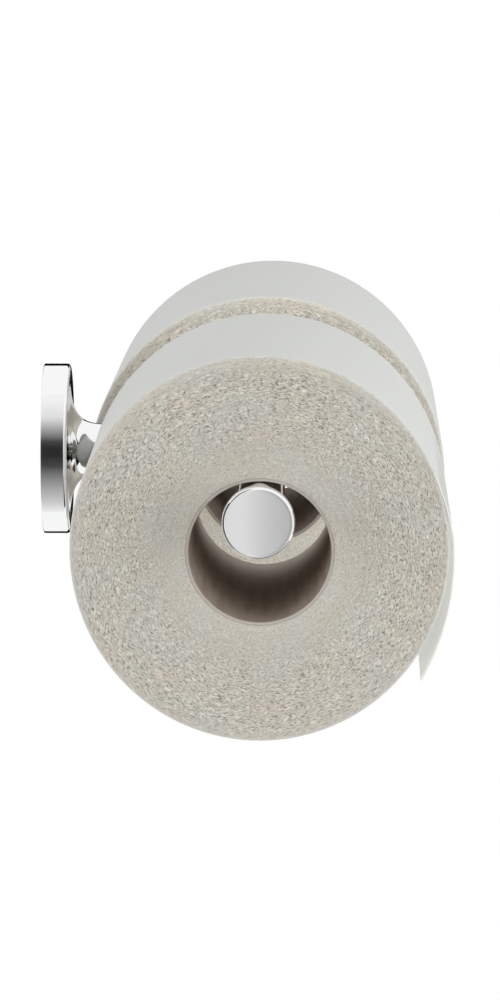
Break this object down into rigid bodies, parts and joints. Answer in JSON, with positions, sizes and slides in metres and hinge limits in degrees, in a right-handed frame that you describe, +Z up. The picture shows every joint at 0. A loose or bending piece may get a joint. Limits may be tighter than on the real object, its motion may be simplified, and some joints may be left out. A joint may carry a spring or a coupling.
{
  "type": "double toilet roll holder",
  "caption": "Chrome wall-mounted toilet roll holder: a round rosette flares into a neck that carries a crossbar with disc caps, and a paper roll hangs on each side.",
  "frame": {"origin": "centre of the wall plate's back face, on the wall", "axes": "+Z up, +Y into the wall, +X along the crossbar"},
  "size_m": [0.2822, 0.1314, 0.1194],
  "materials": {
    "polished_chrome": "polished",
    "plate_steel": "satin",
    "screw_steel": "satin",
    "core_card": "matte",
    "soft_paper": "matte"
  },
  "bodies": {
    "holder": {"rosette": "polished_chrome", "wall_plate": "plate_steel", "grub_screw": "screw_steel", "arm_bolt": "screw_steel", "bolt_washer": "screw_steel", "locating_pin": "screw_steel", "crossbar": "polished_chrome", "end_cap_front": "polished_chrome", "end_cap_rear": "polished_chrome", "cap_stud_front": "screw_steel", "cap_stud_rear": "screw_steel"},
    "front_roll_core": {"front_core": "core_card"},
    "front_roll_paper": {"front_winding": "soft_paper", "front_tail": "soft_paper"},
    "rear_roll_core": {"rear_core": "core_card"},
    "rear_roll_paper": {"rear_winding": "soft_paper"}
  },
  "joints": [
    {"name": "front_roll_slide", "type": "slide", "parent": "holder", "child": "front_roll_core", "axis": [-1, 0, 0], "range_m": [0, 0.0265]},
    {"name": "front_roll_spin", "type": "hinge", "parent": "front_roll_core", "child": "front_roll_paper", "pos_m": [-0.0598, -0.0714, -0.0143], "axis": [1, 0, 0], "continuous": true, "deforming": ["front_tail"]},
    {"name": "rear_roll_slide", "type": "slide", "parent": "holder", "child": "rear_roll_core", "axis": [1, 0, 0], "range_m": [-0.0245, 0.002]},
    {"name": "rear_roll_spin", "type": "hinge", "parent": "rear_roll_core", "child": "rear_roll_paper", "pos_m": [0.0847, -0.0714, -0.0143], "axis": [1, 0, 0], "continuous": true}
  ]
}
